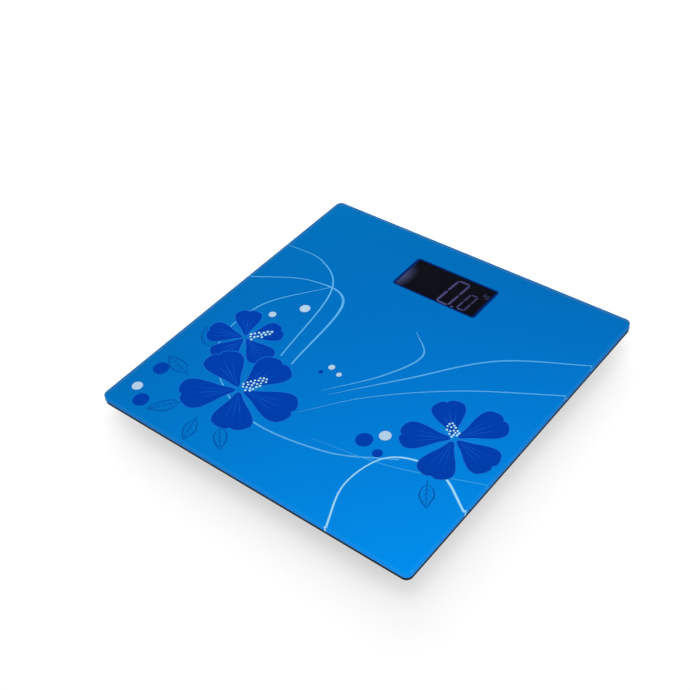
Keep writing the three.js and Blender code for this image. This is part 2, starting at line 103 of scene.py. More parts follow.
def node_tree(m):
    m.use_nodes = True
    nt = m.node_tree
    nt.nodes.clear()
    out = nt.nodes.new("ShaderNodeOutputMaterial")
    return nt, out


def link(nt, a, b):
    nt.links.new(a, b)


def noise(nt, scale, detail=3, rough=0.5, stretch=None, src="Object"):
    tc = nt.nodes.new("ShaderNodeTexCoord")
    n = nt.nodes.new("ShaderNodeTexNoise")
    n.inputs["Scale"].default_value = scale
    n.inputs["Detail"].default_value = detail
    n.inputs["Roughness"].default_value = rough
    v = tc.outputs[src]
    if stretch:
        mp = nt.nodes.new("ShaderNodeMapping")
        mp.inputs["Scale"].default_value = stretch
        link(nt, v, mp.inputs["Vector"])
        v = mp.outputs["Vector"]
    link(nt, v, n.inputs["Vector"])
    return n.outputs["Fac"]


def spread(nt, fac, lo, hi, a=0.3, b=0.7):
    r = nt.nodes.new("ShaderNodeMapRange")
    r.inputs["From Min"].default_value = a
    r.inputs["From Max"].default_value = b
    r.inputs["To Min"].default_value = lo
    r.inputs["To Max"].default_value = hi
    link(nt, fac, r.inputs["Value"])
    return r.outputs["Result"]


def tinted(nt, color, fac, var):
    """color, made lighter and darker by var where fac rises and falls."""
    mix = nt.nodes.new("ShaderNodeMix")
    mix.data_type = "RGBA"
    mix.inputs["A"].default_value = [max(0, c * (1 - var)) for c in color] + [1]
    mix.inputs["B"].default_value = [min(1, c * (1 + var)) for c in color] + [1]
    link(nt, fac, mix.inputs["Factor"])
    return mix.outputs["Result"]



def math2(nt, op, a, b=0.0):
    m = nt.nodes.new("ShaderNodeMath")
    m.operation = op
    for k, v in enumerate((a, b)):
        if isinstance(v, (int, float)):
            m.inputs[k].default_value = v
        else:
            link(nt, v, m.inputs[k])
    return m.outputs[0]


def field(nt, x, y, c):
    """c0 + c1 x + c2 y + c3 xx + c4 xy + c5 yy"""
    total = c[0]
    for k, term in zip(
        c[1:],
        (x, y, math2(nt, "MULTIPLY", x, x), math2(nt, "MULTIPLY", x, y), math2(nt, "MULTIPLY", y, y)),
    ):
        total = math2(nt, "ADD", total, math2(nt, "MULTIPLY", term, k))
    return total


def pbr(
    name,
    color,
    rough,
    metallic=0.0,
    var=0.08,
    var_scale=60,
    rough_var=0.08,
    rough_scale=300,
    bump=0.0,
    bump_scale=2500,
    bump_dist=0.05,
    stretch=None,
    coat=0.0,
    coat_rough=0.1,
    ior=1.5,
    spec=0.5,
):
    m = bpy.data.materials.new(name)
    nt, out = node_tree(m)
    p = nt.nodes.new("ShaderNodeBsdfPrincipled")
    link(nt, p.outputs["BSDF"], out.inputs["Surface"])
    p.inputs["Metallic"].default_value = metallic
    p.inputs["IOR"].default_value = ior
    p.inputs["Specular IOR Level"].default_value = spec
    if coat:
        p.inputs["Coat Weight"].default_value = coat
        p.inputs["Coat Roughness"].default_value = coat_rough
    c = noise(nt, var_scale, 4, 0.6, stretch)
    link(nt, tinted(nt, color, spread(nt, c, 0, 1), var), p.inputs["Base Color"])
    r = noise(nt, rough_scale, 3, 0.6, stretch)
    link(
        nt,
        spread(nt, r, max(0.02, rough - rough_var), min(1, rough + rough_var)),
        p.inputs["Roughness"],
    )
    if bump:
        b = nt.nodes.new("ShaderNodeBump")
        b.inputs["Strength"].default_value = bump
        b.inputs["Distance"].default_value = bump_dist * MM
        link(nt, noise(nt, bump_scale, 4, 0.65, stretch), b.inputs["Height"])
        link(nt, b.outputs["Normal"], p.inputs["Normal"])
    return m


def new_object(name, me, body=None, material=None, smooth=None):
    ob = bpy.data.objects.new(name, me)
    scene.collection.objects.link(ob)
    if material is not None:
        me.materials.clear()
        me.materials.append(material)
    if smooth is not None:
        shade(me, smooth)
    if body:
        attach(ob, body)
    return ob


def shade(me, angle):
    """Smooth faces, sharp where two of them meet at more than angle degrees."""
    for f in me.polygons:
        f.use_smooth = True
    bm = bmesh.new()
    bm.from_mesh(me)
    for e in bm.edges:
        e.smooth = (
            len(e.link_faces) == 2 and e.calc_face_angle(0) < math.radians(angle)
        )
    bm.to_mesh(me)
    bm.free()


def from_bmesh(name, bm):
    bmesh.ops.recalc_face_normals(bm, faces=bm.faces)
    me = bpy.data.meshes.new(name)
    bm.to_mesh(me)
    bm.free()
    return me


# floor: a big sheet of matt paper, very slightly uneven in tone
bm = bmesh.new()
N, S = 24, 4.0
grid = [
    [bm.verts.new((-S + 2 * S * i / N, -S + 2 * S * j / N, LO.z)) for i in range(N + 1)]
    for j in range(N + 1)
]
for j in range(N):
    for i in range(N):
        bm.faces.new(
            (grid[j][i], grid[j][i + 1], grid[j + 1][i + 1], grid[j + 1][i])
        )
floor = new_object(
    "floor",
    from_bmesh("floor", bm),
    None,
    pbr("floor_sheet", (0.43, 0.43, 0.43), 0.8, var=0.01, var_scale=3, spec=0.1),
)
FLAG_NEAR, FLAG_FAR = 0.9, 0.9
# lit from beneath, like a product table of opal acrylic
p = floor.data.materials[0].node_tree.nodes["Principled BSDF"]
p.inputs["Emission Color"].default_value = (1, 1, 1, 1)
p.inputs["Emission Strength"].default_value = 0.56
# mirrored only faintly: to reflection rays the whole floor is mostly black, a flag that keeps the glass rim from
# flaring
nt = floor.data.materials[0].node_tree
out = next(n for n in nt.nodes if n.type == "OUTPUT_MATERIAL")
flag = nt.nodes.new("ShaderNodeBsdfDiffuse")
flag.inputs["Color"].default_value = (0, 0, 0, 1)
tc = nt.nodes.new("ShaderNodeTexCoord")
xyz = nt.nodes.new("ShaderNodeSeparateXYZ")
link(nt, tc.outputs["Object"], xyz.inputs[0])
near = math2(nt, "SUBTRACT", xyz.outputs["X"], xyz.outputs["Y"])
ray = nt.nodes.new("ShaderNodeLightPath")
mix = nt.nodes.new("ShaderNodeMixShader")
link(
    nt,
    math2(nt, "MULTIPLY", ray.outputs["Is Glossy Ray"], spread(nt, near, FLAG_FAR, FLAG_NEAR, -0.02, 0.02)),
    mix.inputs["Fac"],
)
link(nt, p.outputs["BSDF"], mix.inputs[1])
link(nt, flag.outputs[0], mix.inputs[2])
# clear when looked at from beneath, so that the underside of the scale can be seen
geo = nt.nodes.new("ShaderNodeNewGeometry")
clear = nt.nodes.new("ShaderNodeBsdfTransparent")
mix2 = nt.nodes.new("ShaderNodeMixShader")
link(nt, math2(nt, "MULTIPLY", geo.outputs["Backfacing"], ray.outputs["Is Camera Ray"]), mix2.inputs["Fac"])
link(nt, mix.outputs[0], mix2.inputs[1])
link(nt, clear.outputs[0], mix2.inputs[2])
link(nt, mix2.outputs[0], out.inputs["Surface"])


def area(name, loc, target, size, power, color=(1, 1, 1), glossy=True, size_y=None):
    d = bpy.data.lights.new(name, "AREA")
    d.energy, d.size, d.color = power, size, color
    if size_y:
        d.shape, d.size_y = "RECTANGLE", size_y
    o = bpy.data.objects.new(name, d)
    scene.collection.objects.link(o)
    o.location = loc
    o.rotation_mode = "QUATERNION"
    o.rotation_quaternion = (Vector(target) - Vector(loc)).to_track_quat("-Z", "Y")
    o.visible_glossy = glossy
    return o


area("key_back", (-0.95, 1.0, 0.42), (0, 0, 0), 1.8, 28.6, glossy=False, size_y=0.95)
area("top", (-0.15, 0.15, 1.7), (0, 0, 0), 1.6, 11, glossy=False)
area("rim", (0.9, 0.25, 0.55), (0.05, 0, 0.02), 0.5, 1.2, size_y=0.2)

world = bpy.data.worlds.new("studio")
scene.world = world
world.use_nodes = True
nt = world.node_tree
nt.nodes.clear()
w_out = nt.nodes.new("ShaderNodeOutputWorld")
path = nt.nodes.new("ShaderNodeLightPath")
w_soft = nt.nodes.new("ShaderNodeBackground")
w_soft.inputs["Color"].default_value = (1, 1, 1, 1)
w_soft.inputs["Strength"].default_value = 0.56
w_dark = nt.nodes.new("ShaderNodeBackground")
w_dark.inputs["Color"].default_value = (0.9, 0.95, 1, 1)
w_dark.inputs["Strength"].default_value = 0.02
w_mix = nt.nodes.new("ShaderNodeMixShader")
link(nt, path.outputs["Is Glossy Ray"], w_mix.inputs["Fac"])
link(nt, w_soft.outputs[0], w_mix.inputs[1])
link(nt, w_dark.outputs[0], w_mix.inputs[2])
w_seen = nt.nodes.new("ShaderNodeBackground")
w_seen.inputs["Color"].default_value = (0.98, 0.98, 0.98, 1)
w_pick = nt.nodes.new("ShaderNodeMixShader")
link(nt, path.outputs["Is Camera Ray"], w_pick.inputs["Fac"])
link(nt, w_mix.outputs[0], w_pick.inputs[1])
link(nt, w_seen.outputs[0], w_pick.inputs[2])
link(nt, w_pick.outputs[0], w_out.inputs["Surface"])


# ------------------------------------------------------------------ glass platform
def round_rect(w, d, r, n=12, cx=0.0, cy=0.0):
    pts = []
    for x, y, a0 in (
        (w / 2 - r, d / 2 - r, 0),
        (-w / 2 + r, d / 2 - r, 90),
        (-w / 2 + r, -d / 2 + r, 180),
        (w / 2 - r, -d / 2 + r, 270),
    ):
        for i in range(n + 1):
            a = math.radians(a0 + 90 * i / n)
            pts.append((cx + x + r * math.cos(a), cy + y + r * math.sin(a)))
    return pts


def rings_mesh(name, rings):
    """Skin through rings of equal point count, [(points, z)], closed at both ends."""
    bm = bmesh.new()
    rows = [[bm.verts.new((x, y, z)) for x, y in pts] for pts, z in rings]
    n = len(rows[0])
    for a, b in zip(rows, rows[1:]):
        for i in range(n):
            j = (i + 1) % n
            bm.faces.new((a[i], a[j], b[j], b[i]))
    bm.faces.new(list(reversed(rows[0])))
    bm.faces.new(rows[-1])
    return from_bmesh(name, bm)


PLATE = (GLASS_HI.x - GLASS_LO.x) / MM
R0 = 5.5
CHAMFER = 0.6
T0, T1 = FILM_HI.z - 0.07 * MM, GLASS_HI.z  # the ink is printed on the underside
profile = [
    (0.02, T0),
    (0.0, T0 + 0.03 * MM),
    (0.0, T1 - CHAMFER * MM),
    (0.12 * CHAMFER, T1 - 0.8 * CHAMFER * MM),
    (0.8 * CHAMFER, T1 - 0.12 * CHAMFER * MM),
    (CHAMFER, T1),
]
glass_me = rings_mesh(
    "glass",
    [
        (
            [
                (x * MM, y * MM)
                for x, y in round_rect(PLATE - 2 * i, PLATE - 2 * i, R0 - i, 24)
            ],
            z,
        )
        for i, z in profile
    ],
)
# strength of the painted glint, an emission on the pane's ground upper edge
PAINTED_GLINT = 0.08
glass_mat = bpy.data.materials.new("tempered_glass")
nt, out = node_tree(glass_mat)
p = nt.nodes.new("ShaderNodeBsdfPrincipled")
p.inputs["Transmission Weight"].default_value = 1
p.inputs["IOR"].default_value = 1.5
p.inputs["Roughness"].default_value = 0.0
link(
    nt,
    tinted(nt, (0.93, 0.975, 0.98), spread(nt, noise(nt, 25, 3), 0, 1), 0.01),
    p.inputs["Base Color"],
)
b = nt.nodes.new("ShaderNodeBump")
b.inputs["Strength"].default_value = 0.04
b.inputs["Distance"].default_value = 0.02 * MM
link(nt, noise(nt, 40, 2), b.inputs["Height"])
link(nt, b.outputs["Normal"], p.inputs["Normal"])
# painted glint: the ground upper edge of the pane glows faintly in blue, standing in for the light it catches from
# inside the pane
tc = nt.nodes.new("ShaderNodeTexCoord")
xyz = nt.nodes.new("ShaderNodeSeparateXYZ")
link(nt, tc.outputs["Object"], xyz.inputs[0])
reach = []
for axis in "XY":
    a_ = math2(nt, "ABSOLUTE", xyz.outputs[axis])
    reach.append(math2(nt, "MAXIMUM", math2(nt, "SUBTRACT", a_, (PLATE / 2 - R0) * MM), 0.0))
far = math2(
    nt, "SQRT", math2(nt, "ADD", math2(nt, "MULTIPLY", reach[0], reach[0]), math2(nt, "MULTIPLY", reach[1], reach[1]))
)
glint_rim_mask = spread(nt, far, 0.0, 1.0, (R0 - CHAMFER - 0.05) * MM, (R0 - CHAMFER + 0.05) * MM)
high = spread(nt, xyz.outputs["Z"], 0.0, 1.0, T1 - 1.2 * CHAMFER * MM, T1 - 0.9 * CHAMFER * MM)
p.inputs["Emission Color"].default_value = (0.02, 0.42, 0.85, 1)
link(nt, math2(nt, "MULTIPLY", math2(nt, "MULTIPLY", glint_rim_mask, high), PAINTED_GLINT), p.inputs["Emission Strength"])
link(nt, p.outputs["BSDF"], out.inputs["Surface"])
glass = new_object("glass_top", glass_me, "base", glass_mat, 5)
# daylight reaches the print straight through the pane, counted once
glass.visible_shadow = glass.visible_diffuse = glass.visible_glossy = False
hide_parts("glass_platform")


# ------------------------------------------------------------------ printed artwork
# Layout grid: quarter millimetres from the upper left of a 320 mm field round the platform.
def art(px, py):
    return (px / 4 - 160, 160 - py / 4)


SHAPES = []  # (ink, points in mm), painted in order


def paint(ink, pts):
    area2 = sum(
        a[0] * b[1] - b[0] * a[1] for a, b in zip(pts, list(pts[1:]) + [pts[0]])
    )
    if abs(area2) < 1e-4:
        return
    SHAPES.append((ink, list(pts) if area2 > 0 else list(reversed(pts))))


def smooth(ctrl, n):
    """n + 1 points along a Catmull-Rom curve through ctrl."""
    c = [Vector(p) for p in ctrl]
    c = [2 * c[0] - c[1]] + c + [2 * c[-1] - c[-2]]
    k = len(c) - 3
    out = []
    for i in range(n + 1):
        t = i / n * k
        s = min(int(t), k - 1)
        t -= s
        p0, p1, p2, p3 = c[s : s + 4]
        out.append(
            0.5
            * (
                2 * p1
                + (p2 - p0) * t
                + (2 * p0 - 5 * p1 + 4 * p2 - p3) * t * t
                + (3 * p1 - p0 - 3 * p2 + p3) * t * t * t
            )
        )
    return out


def stroke(ink, ctrl, widths, n=40, grid=True):
    """Ribbon along ctrl; widths in mm are spread evenly along it."""
    pts = [Vector(p) for p in smooth([art(*p) if grid else p for p in ctrl], n)]
    left, right = [], []
    m = len(widths) - 1
    for i, p in enumerate(pts):
        d = (pts[min(i + 1, n)] - pts[max(i - 1, 0)]).normalized()
        t = i / n * m
        s = min(int(t), m - 1)
        w = widths[s] + (widths[s + 1] - widths[s]) * (t - s)
        nrm = Vector((-d.y, d.x)) * w / 2
        left.append(p + nrm)
        right.append(p - nrm)
    for i in range(n):
        paint(ink, [right[i], right[i + 1], left[i + 1], left[i]])


def dot(ink, px, py, r, n=26, grid=True):
    x, y = art(px, py) if grid else (px, py)
    r = r / 4 if grid else r
    paint(
        ink,
        [
            (x + r * math.cos(2 * math.pi * i / n), y + r * math.sin(2 * math.pi * i / n))
            for i in range(n)
        ],
    )


# plain curved lines that sweep across the platform
for ink, ctrl, widths in (
    ("line", [(34, 330), (200, 336), (330, 450), (392, 780)], [0.4, 1.0, 1.5, 1.2]),
    ("line", [(34, 540), (230, 440), (400, 470), (446, 790)], [1.0, 0.8, 2.2, 1.5]),
    ("line", [(320, 420), (170, 640), (200, 880), (460, 1040), (760, 1020), (970, 920)], [0.5, 1.2, 0.9, 1.4, 1.4, 1.1]),
    ("line", [(690, 450), (772, 530), (720, 670), (600, 830)], [0.3, 1.5, 1.3, 0.2]),
    ("line", [(1245, 270), (980, 420), (790, 640), (630, 830)], [0.9, 1.3, 1.4, 0.2]),
    ("line", [(1245, 425), (960, 590), (740, 770), (600, 940)], [1.0, 0.9, 0.6, 0.2]),
    ("faint", [(700, 1000), (960, 955), (1245, 850)], [0.3, 1.0, 0.9]),
    ("pale", [(956, 1245), (896, 1080), (940, 930), (1090, 890), (1248, 980)], [1.6, 1.2, 1.2, 1.9, 1.7]),
):
    stroke(ink, ctrl, widths, 64)

# leaves in line work
def leaf(a, b, width, seed, veins=4):
    rnd = random.Random(seed)
    A, B = Vector(a), Vector(b)
    ax = B - A
    nr = Vector((-ax.y, ax.x)).normalized()
    for s in (1, -1):
        pts = [
            A + ax * u + nr * (s * width / 2 * math.sin(math.pi * u**0.8) * (1 + rnd.uniform(-0.1, 0.1)))
            for u in (0, 0.15, 0.35, 0.55, 0.75, 0.9, 1)
        ]
        stroke("ink", [tuple(p) for p in pts], [0.3, 0.95, 0.95, 0.3], 26)
    stroke("ink", [tuple(A - ax * 0.18), tuple(A + ax * 0.5 + nr * 2), tuple(A + ax * 0.96)], [0.55, 0.5, 0.2], 14)
    for k in range(veins):
        u = 0.2 + 0.55 * k / max(1, veins - 1)
        for s in (1, -1):
            q = A + ax * (u + 0.16) + nr * (s * width * 0.36 * math.sin(math.pi * (u + 0.1) ** 0.8))
            stroke("ink", [tuple(A + ax * u), tuple(q)], [0.4, 0.15], 3)


for k, (a, b, width) in enumerate(
    (
        ((176, 872), (88, 812), 50),
        ((186, 1010), (84, 985), 46),
        ((262, 1118), (196, 1196), 44),
        ((356, 1140), (384, 1224), 40),
        ((446, 1124), (506, 1190), 42),
        ((1092, 948), (1140, 1020), 40),
    )
):
    leaf(a, b, width, k)

# petals, each a closed smooth outline in layout units
def petal(pts, rim=2.4):
    n = len(pts)
    c = [Vector(p) for p in pts]
    mid = sum(c, Vector((0, 0))) / n
    ring = []
    for i in range(n):
        p0, p1, p2, p3 = c[i - 1], c[i], c[(i + 1) % n], c[(i + 2) % n]
        for k in range(6):
            t = k / 6
            ring.append(
                0.5
                * (
                    2 * p1
                    + (p2 - p0) * t
                    + (2 * p0 - 5 * p1 + 4 * p2 - p3) * t * t
                    + (3 * p1 - p0 - 3 * p2 + p3) * t * t * t
                )
            )
    m = len(ring)
    halo = []
    sign = 1 if sum(ring[i - 1].cross(ring[i]) for i in range(m)) > 0 else -1
    for i in range(m):
        d = (ring[(i + 1) % m] - ring[i - 1]).normalized()
        halo.append(ring[i] + Vector((d.y, -d.x)) * sign * rim)
    for ink, pts_ in (("rim", halo), ("petal", ring)):
        tri_fan(ink, [art(p.x, p.y) for p in pts_])


def tri_fan(ink, pts):
    """Paints a simple outline as triangles, so that hollow sides stay hollow."""
    co = [Vector((x, y, 0)) for x, y in pts]
    for t in tessellate_polygon([co]):
        paint(ink, [pts[i] for i in t])


PETAL = ((0.1, 0.035), (0.3, 0.13), (0.5, 0.25), (0.7, 0.335), (0.86, 0.32), (0.96, 0.19), (0.985, 0.07))


def flower(cx, cy, length, turn, seed, squash):
    """A plain five-petalled flower, its petals equal but for small seeded differences."""
    rnd = random.Random(seed)

    def at(angle, u, v):
        a = math.radians(angle)
        x, y = u * math.cos(a) - v * math.sin(a), u * math.sin(a) + v * math.cos(a)
        return (cx + x, cy + y * squash)

    for k in range(5):
        angle = turn + 72 * k + rnd.uniform(-4, 4)
        reach, wide = length * rnd.uniform(0.94, 1.04), rnd.uniform(0.95, 1.08)
        side = [(u * reach, v * reach * wide) for u, v in PETAL]
        petal(
            [at(angle, u, v) for u, v in side]
            + [at(angle, 0.95 * reach, 0)]
            + [at(angle, u, -v) for u, v in reversed(side)]
        )
        for s, w in ((-1, 0.55), (0, 0.8), (1, 0.55)):
            ctrl = [at(angle, u * reach, s * v * reach) for u, v in ((0.14, 0.01), (0.45, 0.075), (0.76, 0.15))]
            stroke("vein", ctrl, [0.15, w, 0.12], 14)
        ctrl = [at(angle + 36, u * length, v * length) for u, v in ((0.06, 0), (0.26, 0.015), (0.5, 0))]
        stroke("strand", ctrl, [0.5, 0.45, 0.12], 12)


flower(236, 780, 140, 20, 5, 0.9)
flower(384, 968, 205, -8, 6, 0.86)
flower(1056, 762, 168, 12, 7, 0.98)


def stamen(base, tip, count, spread_px, seed, gap=11.6, small=3.8, large=4.7):
    """Small pollen dots round a column that leans from base to tip."""
    rnd = random.Random(seed)
    b, t = Vector(base), Vector(tip)
    ax = t - b
    nr = Vector((-ax.y, ax.x)).normalized()
    placed = []
    for _ in range(3000):
        if len(placed) >= count:
            break
        u = rnd.random()
        s = spread_px * (0.5 + 0.5 * math.sin(math.pi * min(1, 0.3 + u * 0.7)))
        q = b + ax * u + nr * rnd.uniform(-s, s)
        if all((q - r).length > gap for r in placed):
            placed.append(q)
    for q in placed:
        dot("pollen", q.x, q.y, rnd.uniform(small, large), 12)


stamen((250, 770), (292, 708), 18, 15, 61)
stamen((392, 958), (424, 886), 26, 20, 62, 10.8, 3.4, 4.3)
stamen((1054, 756), (1006, 718), 22, 16, 63, 9.5, 3.2, 4.0)

# loose dots
for x, y, r in ((310, 562, 18), (237, 644, 13), (563, 730, 11), (603, 743, 9), (880, 867, 19), (98, 1140, 18)):
    dot("dot", x, y, r)
for x, y, r in ((105, 1040, 27), (152, 1177, 27), (838, 915, 27), (903, 935, 16), (547, 765, 8)):
    dot("petal", x, y, r)

# frame round the display, and its clear window
win_y = (LCD_LO.y + LCD_HI.y) / 2 / MM + 1.5
WIN_W, WIN_D = 78.6, 36.3
paint("border", round_rect(83.4, 39.2, 3.0, 8, -0.1, win_y + 0.1))
paint(None, round_rect(WIN_W, WIN_D, 1.5, 6, 0, win_y))

# a clear line round the print, run out to the edge of the pane
PRINT_W, SEAL = PLATE - 0.1, 0.4
outer = round_rect(PRINT_W, PRINT_W, R0 - 0.05, 12)
inner = round_rect(PRINT_W - 2 * SEAL, PRINT_W - 2 * SEAL, R0 - 0.05 - SEAL, 12)
for k in range(len(outer)):
    paint("seal", [outer[k - 1], outer[k], inner[k], inner[k - 1]])
outline = round_rect(PRINT_W, PRINT_W, R0 - 0.05, 12)


def triangulate(faces):
    verts, polys = [], []
    for pts in faces:
        polys.append(list(range(len(verts), len(verts) + len(pts))))
        verts += [Vector((p[0], p[1])) for p in pts]
    v, _, f, _, _, src = delaunay_2d_cdt(verts, [], polys, 1, 1e-5)
    return v, f, src


def thin_solid(name, verts, tris, z0, z1):
    """Closed sheet from triangles of a plane, in mm."""
    used = {}
    for t in tris:
        for i in t:
            used.setdefault(i, len(used))
    n = len(used)
    co = [None] * (2 * n)
    for i, k in used.items():
        co[k] = (verts[i][0] * MM, verts[i][1] * MM, z1)
        co[n + k] = (verts[i][0] * MM, verts[i][1] * MM, z0)
    faces, edges = [], {}
    for t in tris:
        a, b, c = (used[i] for i in t)
        faces += [(a, b, c), (n + c, n + b, n + a)]
        for p, q in ((a, b), (b, c), (c, a)):
            edges[(p, q)] = edges.get((p, q), 0) + 1
    for p, q in edges:
        if (q, p) not in edges:
            faces.append((p, n + p, n + q, q))
    me = bpy.data.meshes.new(name)
    me.from_pydata(co, [], faces)
    me.validate()
    me.update()
    return me


verts, tris, src = triangulate([outline] + [s[1] for s in SHAPES])
by_ink = {}
for t, s in zip(tris, src):
    if 0 not in s:
        continue
    top = max(s)
    if top == 0:
        continue
    ink = SHAPES[top - 1][0]
    if ink is not None:
        for k in range(1, len(t) - 1):
            by_ink.setdefault(ink, []).append((t[0], t[k], t[k + 1]))


def ink_material(name, rgb, rough=0.42, var=0.03):
    m = pbr(name, lin(rgb), rough, var=var, var_scale=900, rough_var=0.04, spec=0)
    return m


INKS = {
    "petal": (0, 59, 163),
    "rim": (22, 112, 205),
    "vein": (10, 84, 190),
    "line": (84, 166, 222),
    "faint": (48, 150, 218),
    "pale": (150, 208, 242),
    "dot": (172, 198, 220),
    "pollen": (172, 220, 238),
    "ink": (0, 72, 154),
    "strand": (34, 122, 208),
    "border": (3, 35, 102),
    "seal": (58, 112, 158),
}
Z_GROUND = FILM_HI.z - 0.05 * MM
for ink, ts in by_ink.items():
    me = thin_solid("print_" + ink, verts, ts, Z_GROUND - 0.01 * MM, FILM_HI.z)
    ob = new_object("print_" + ink, me, "base", ink_material("ink_" + ink, INKS[ink]))

# blue ground, paler towards the near right corner, over a dark backing
GROUND_G = (0.1609, 0.0266, -0.0336, 0.0055, -0.0295, 0.0077)
GROUND_B = (0.5291, 0.0913, -0.1059, 0.009, -0.0783, 0.0034)
gv, gt, gs = triangulate([outline, round_rect(WIN_W, WIN_D, 1.5, 6, 0, win_y)])
ground_tris = [
    (t[0], t[k], t[k + 1])
    for t, s in zip(gt, gs)
    if 0 in s and 1 not in s
    for k in range(1, len(t) - 1)
]
ground_mat = bpy.data.materials.new("ink_ground")
nt, out = node_tree(ground_mat)
p = nt.nodes.new("ShaderNodeBsdfPrincipled")
p.inputs["Specular IOR Level"].default_value = 0  # bonded to the glass, no air between
link(nt, p.outputs["BSDF"], out.inputs["Surface"])
tc = nt.nodes.new("ShaderNodeTexCoord")
xyz = nt.nodes.new("ShaderNodeSeparateXYZ")
link(nt, tc.outputs["Object"], xyz.inputs[0])

gx_ = math2(nt, "MULTIPLY", xyz.outputs["X"], 1 / 0.15)
gy_ = math2(nt, "MULTIPLY", xyz.outputs["Y"], 1 / 0.15)
mixed = nt.nodes.new("ShaderNodeCombineColor")
mixed.inputs[0].default_value = 0.0
for k, c in enumerate((GROUND_G, GROUND_B)):
    link(nt, field(nt, gx_, gy_, c), mixed.inputs[1 + k])
grain = nt.nodes.new("ShaderNodeMix")
grain.data_type = "RGBA"
grain.blend_type = "MULTIPLY"
grain.inputs["Factor"].default_value = 1
link(nt, mixed.outputs[0], grain.inputs["A"])
link(
    nt,
    tinted(nt, (0.98, 0.98, 0.98), spread(nt, noise(nt, 1400, 2), 0, 1), 0.018),
    grain.inputs["B"],
)
link(nt, grain.outputs["Result"], p.inputs["Base Color"])
link(nt, spread(nt, noise(nt, 500, 2), 0.4, 0.5), p.inputs["Roughness"])
me = thin_solid("print_ground", gv, ground_tris, FILM_LO.z + 0.12 * MM, Z_GROUND)
ground = new_object("print_ground", me, "base", ground_mat)
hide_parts("printed_film")
me = thin_solid("print_backing", gv, ground_tris, FILM_LO.z, FILM_LO.z + 0.1 * MM)
backing = new_object(
    "print_backing",
    me,
    "base",
    pbr("backing_paint", (0.006, 0.012, 0.03), 0.6, var=0.2, bump=0.2, bump_scale=900),
)


# ------------------------------------------------------------------ display
def bevelled_box(name, lo, hi, r, segs=3):
    bm = bmesh.new()
    bmesh.ops.create_cube(bm, size=1)
    for v in bm.verts:
        v.co = Vector(
            [(l + h) / 2 + c * (h - l) for l, h, c in zip(lo, hi, v.co)]
        )
    bmesh.ops.bevel(
        bm, geom=bm.edges[:], offset=r, segments=segs, profile=0.5, affect="EDGES"
    )
    return from_bmesh(name, bm)


lcd_mat = bpy.data.materials.new("lcd_glass")
nt, out = node_tree(lcd_mat)
p = nt.nodes.new("ShaderNodeBsdfPrincipled")
p.inputs["Roughness"].default_value = 0.18
p.inputs["Specular IOR Level"].default_value = 0.1
link(nt, p.outputs["BSDF"], out.inputs["Surface"])
link(
    nt,
    tinted(nt, lin((9, 9, 19)), spread(nt, noise(nt, 120, 3), 0, 1), 0.15),
    p.inputs["Base Color"],
)
# painted reflection at the left end of the window, laid on as a glow of light leaking from the edge-lit guide beside
# the LED
tc = nt.nodes.new("ShaderNodeTexCoord")
xyz = nt.nodes.new("ShaderNodeSeparateXYZ")
link(nt, tc.outputs["Object"], xyz.inputs[0])
u = math2(nt, "DIVIDE", math2(nt, "SUBTRACT", xyz.outputs["X"], -0.041), 0.0125)
v = math2(nt, "DIVIDE", math2(nt, "SUBTRACT", xyz.outputs["Y"], 0.0985), 0.021)
far = math2(
    nt,
    "SQRT",
    math2(nt, "ADD", math2(nt, "MULTIPLY", u, u), math2(nt, "MULTIPLY", v, v)),
)
# painted reflection: glow that is strongest at the left end of the display window
painted_reflection_glow = math2(nt, "POWER", spread(nt, far, 1.0, 0.0, 0.0, 1.0), 1.4)
ml = nt.nodes.new("ShaderNodeMath")
ml.operation = "MULTIPLY"
link(nt, painted_reflection_glow, ml.inputs[0])
ml.inputs[1].default_value = 1.0
sc = nt.nodes.new("ShaderNodeMath")
sc.operation = "MULTIPLY"
sc.inputs[1].default_value = 0.235
link(nt, ml.outputs[0], sc.inputs[0])
p.inputs["Emission Color"].default_value = (0.38, 0.4, 1.0, 1)
link(nt, sc.outputs[0], p.inputs["Emission Strength"])
lcd = new_object(
    "lcd_cell",
    bevelled_box("lcd_cell", LCD_LO, LCD_HI, 0.25 * MM),
    "base",
    lcd_mat,
    40,
)
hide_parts("lcd_panel")

SEG = []


def segments(x0, y0, x1, y1, th, on, slant=0.06, gap=0.35):
    """Lit bars of a seven-segment digit, as hexagons in mm."""
    ym = (y0 + y1) / 2
    h = th / 2

    def horiz(y, a, b):
        return [(a, y), (a + h, y + h), (b - h, y + h), (b, y), (b - h, y - h), (a + h, y - h)]

    def vert(x, a, b):
        return [(x, a), (x + h, a + h), (x + h, b - h), (x, b), (x - h, b - h), (x - h, a + h)]

    L, R, B, T = x0 + h, x1 - h, y0 + h, y1 - h
    bars = {
        "a": horiz(T, L + gap, R - gap),
        "g": horiz(ym, L + gap, R - gap),
        "d": horiz(B, L + gap, R - gap),
        "f": vert(L, ym + gap, T - gap),
        "b": vert(R, ym + gap, T - gap),
        "e": vert(L, B + gap, ym - gap),
        "c": vert(R, B + gap, ym - gap),
    }
    for k in on:
        SEG.append([(x + slant * (y - y0), y) for x, y in bars[k]])


gx = lambda px, py: art(px, py)
(bx0, by1), (bx1, by0) = gx(651, 160), gx(703, 291)
segments(bx0 - 1.0, by0, bx1 - 0.6, by1, 2.2, "abcdef")
(sx0, sy1), (sx1, sy0) = gx(726, 195), gx(763, 284)
segments(sx0 - 0.3, sy0, sx1 - 1.0, sy1 - 0.9, 1.6, "abcdef", gap=0.28)
dx, dy = gx(712, 286)
SEG.append([(dx - 1.1, dy - 1.1), (dx + 1.1, dy - 1.1), (dx + 1.2, dy + 1.1), (dx - 1.0, dy + 1.1)])


